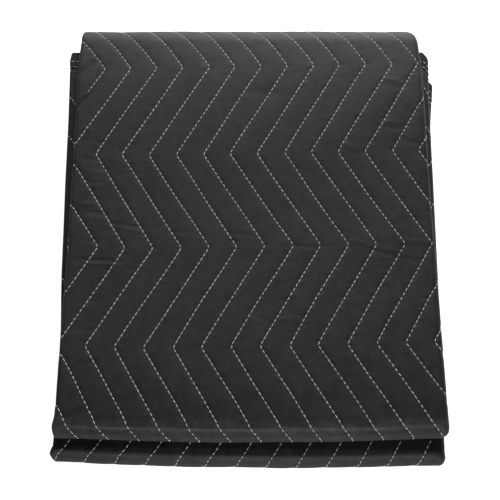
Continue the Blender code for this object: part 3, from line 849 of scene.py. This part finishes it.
def noise(tree, where, scale, detail, roughness=0.5):
    """A noise texture's value at where."""
    node = tree.nodes.new("ShaderNodeTexNoise")
    set_inputs(tree, node, {"Vector": where, "Scale": scale, "Detail": detail, "Roughness": roughness})
    return node.outputs["Fac"]


def yarn_noise(tree, where, scale):
    """Noise drawn out along the yarns; scale gives how fine it is across the cloth and along it."""
    node = tree.nodes.new("ShaderNodeMapping")
    set_inputs(tree, node, {"Vector": where, "Scale": (*scale, 1.0)})
    return noise(tree, node.outputs["Vector"], 1.0, 2.0)


def ramp(tree, value, low, high, a, b):
    """A colour that goes from a where the value is low to b where it is high."""
    node = tree.nodes.new("ShaderNodeValToRGB")
    for element, position, colour in zip(node.color_ramp.elements, (low, high), (a, b)):
        element.position = position
        element.color = (*colour, 1)
    tree.links.new(value, node.inputs["Fac"])
    return node.outputs["Color"]


def map_range(tree, value, low, high, a, b, interpolation="LINEAR"):
    """A value that goes from a where the given one is low to b where it is high."""
    node = tree.nodes.new("ShaderNodeMapRange")
    node.interpolation_type = interpolation
    set_inputs(tree, node, {"Value": value, "From Min": low, "From Max": high, "To Min": a, "To Max": b})
    return node.outputs["Result"]


def maths(tree, operation, first, second=0.0):
    """A maths node's result, from values or other nodes' results."""
    node = tree.nodes.new("ShaderNodeMath")
    node.operation = operation
    set_inputs(tree, node, {0: first, 1: second})
    return node.outputs[0]


def multiplied(tree, first, second):
    """Two colours multiplied."""
    node = tree.nodes.new("ShaderNodeMix")
    node.data_type = "RGBA"
    node.blend_type = "MULTIPLY"
    set_inputs(tree, node, {"Factor": 1.0, "A": first, "B": second})
    return node.outputs["Result"]


def bump(tree, height, strength, distance):
    """A normal that is tilted by height."""
    node = tree.nodes.new("ShaderNodeBump")
    set_inputs(tree, node, {"Height": height, "Strength": strength, "Distance": distance})
    return node.outputs["Normal"]


def painted_highlight_tone(tree, where):
    """Painted highlight: how many times as light the cloth's colour is made in a band across each roll's
    shoulder, where the light falls.
    """
    axes = tree.nodes.new("ShaderNodeSeparateXYZ")
    tree.links.new(where, axes.inputs[0])
    tone = 1.0
    # Painted highlight: the colour is lightened in a band near where each roll runs up into the layer above
    for start, (before, gain) in zip((V_AT[2], V_AT[6]), PAINTED_HIGHLIGHTS):
        away = maths(tree, "SUBTRACT", axes.outputs["Y"], float(start) - before)
        away = maths(tree, "ABSOLUTE", away)
        near = map_range(tree, away, 0.0, PAINTED_HIGHLIGHT_REACH, gain, 1.0, "SMOOTHSTEP")
        tone = maths(tree, "MULTIPLY", near, tone)
    return tone


def cloth_material(name, dark, light, yarn, sheen, rough, bump_height):
    """A woven cloth: slanting ribs of yarn, slubs and slow changes of shade, with painted highlight bands
    across the rolls, from the flat cloth.
    """
    material, tree, shader = new_material(name)
    cloth = tree.nodes.new("ShaderNodeUVMap")
    cloth.uv_map = "Cloth"
    where = cloth.outputs["UV"]
    ribs = tree.nodes.new("ShaderNodeTexWave")
    ribs.wave_type = "BANDS"
    ribs.bands_direction = "DIAGONAL"
    set_inputs(tree, ribs, {
        "Vector": where, "Scale": 1 / yarn * RIB_SCALE,
        "Distortion": 0.8, "Detail": 1.0, "Detail Scale": 2.0,
    })
    yarns = maths(tree, "ADD", yarn_noise(tree, where, WEFT_FINE), yarn_noise(tree, where, WARP_FINE))
    weave = maths(tree, "ADD", maths(tree, "MULTIPLY", ribs.outputs["Fac"], RIB_SHARE), yarns)
    shade = ramp(tree, weave, 0.75, 1.75, dark, light)
    tone = ramp(tree, noise(tree, where, *SHADE_CHANGES), 0.3, 0.7, *SHADE_TONES)
    set_inputs(tree, shader, {
        # The base colour: the weave, times the slow tones, times the painted highlight bands on the rolls
        "Base Color": multiplied(tree, multiplied(tree, shade, tone), painted_highlight_tone(tree, where)),
        "Roughness": map_range(tree, weave, 0.6, 1.8, rough + 0.08, rough - 0.06),
        "Normal": bump(tree, weave, 0.75, bump_height),
        "Sheen Weight": sheen,
        "Sheen Roughness": 0.45,
        "Sheen Tint": (0.80, 0.82, 0.86, 1),
        "Specular IOR Level": 0.25,
    })
    return material


def thread_material(name):
    """White spun thread, a little shaded along its twist."""
    material, tree, shader = new_material(name)
    where = tree.nodes.new("ShaderNodeTexCoord")
    twist = noise(tree, where.outputs["Object"], 900.0, 2.0)
    set_inputs(tree, shader, {
        "Base Color": ramp(tree, twist, 0.3, 0.7, (0.74, 0.74, 0.73), (0.98, 0.98, 0.97)),
        "Normal": bump(tree, twist, 0.4, 0.0002),
        "Roughness": 0.6,
        "Sheen Weight": 0.2,
    })
    return material


def lit_or_seen(tree, lit, seen):
    """A strength that is one value where it lights things and another where the camera sees it."""
    path = tree.nodes.new("ShaderNodeLightPath")
    return map_range(tree, path.outputs["Is Camera Ray"], 0.0, 1.0, lit, seen)


def add_turned(obj, place, target):
    """Adds an object to the scene at place, turned to target."""
    obj.location = place
    obj.rotation_euler = (Vector(target) - Vector(place)).to_track_quat("-Z", "Y").to_euler()
    bpy.context.scene.collection.objects.link(obj)


def add_camera():
    """The photo's camera."""
    data = bpy.data.cameras.new("camera")
    data.sensor_width = SENSOR
    data.lens = FOCAL_PIXELS / PHOTO_PIXELS * SENSOR
    camera = bpy.data.objects.new("camera", data)
    add_turned(camera, CAMERA_AT, CAMERA_AIM)
    bpy.context.scene.camera = camera


def add_light(name, place, target, size, power):
    """A soft square light."""
    data = bpy.data.lights.new(name, "AREA")
    data.shape = "SQUARE"
    data.size = size
    data.energy = power
    add_turned(bpy.data.objects.new(name, data), place, target)


def add_floor():
    """A pale floor, just under the pad."""
    material, tree, shader = new_material("pale_floor")
    set_inputs(tree, shader, {
        "Base Color": FLOOR_COLOUR,
        "Roughness": 0.9,
        "Emission Color": (1, 1, 1, 1),
        "Emission Strength": lit_or_seen(tree, *FLOOR_GLOW),
    })
    mesh = bpy.data.meshes.new("floor")
    corners = [(x * FLOOR_HALF, y * FLOOR_HALF, 0) for x, y in ((-1, -1), (1, -1), (1, 1), (-1, 1))]
    mesh.from_pydata(corners, [], [(0, 1, 2, 3)])
    mesh.materials.append(material)
    floor = bpy.data.objects.new("floor", mesh)
    floor.location.z = -FLOOR_DROP
    bpy.context.scene.collection.objects.link(floor)


def add_world():
    """A white studio, though next to no light comes from it."""
    world = bpy.data.worlds.new("studio")
    world.use_nodes = True
    tree = world.node_tree
    set_inputs(tree, tree.nodes["Background"], {
        "Color": (1, 1, 1, 1), "Strength": lit_or_seen(tree, *WORLD_GLOW),
    })
    bpy.context.scene.world = world


add_camera()
pad_material = cloth_material(
    "woven_charcoal", dark=(0.0038, 0.0038, 0.0041), light=(0.0190, 0.0190, 0.0199),
    yarn=0.0011, sheen=0.10, rough=0.60, bump_height=0.0003,
)
tape_material = cloth_material(
    "binding_tape", dark=(0.004, 0.004, 0.0045), light=(0.014, 0.014, 0.015),
    yarn=0.0022, sheen=0.08, rough=0.75, bump_height=0.0006,
)
white_thread = thread_material("white_thread")

pad = make_pad(pad_material)
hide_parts("pad")

TAPES = (
    ("binding_end_upper", end_stations(), upper_end),
    ("binding_end_lower", end_stations(), lower_end),
    ("binding_side_upper", side_stations(), upper_side),
    ("binding_side_lower", side_stations(), lower_side),
)
paths = []
for node, stations, place in TAPES:
    tape = make_tape(node + "_tape", stations, place, tape_material)
    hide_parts(node)
    paths += tape_paths(stations, place)

quilting = make_rows("quilting_thread", quilting_paths(), white_thread)
rows = make_rows("binding_stitches", paths, white_thread)

add_floor()
add_world()
for light in LIGHTS:
    add_light(*light)
bpy.context.scene.view_settings.view_transform = "Standard"
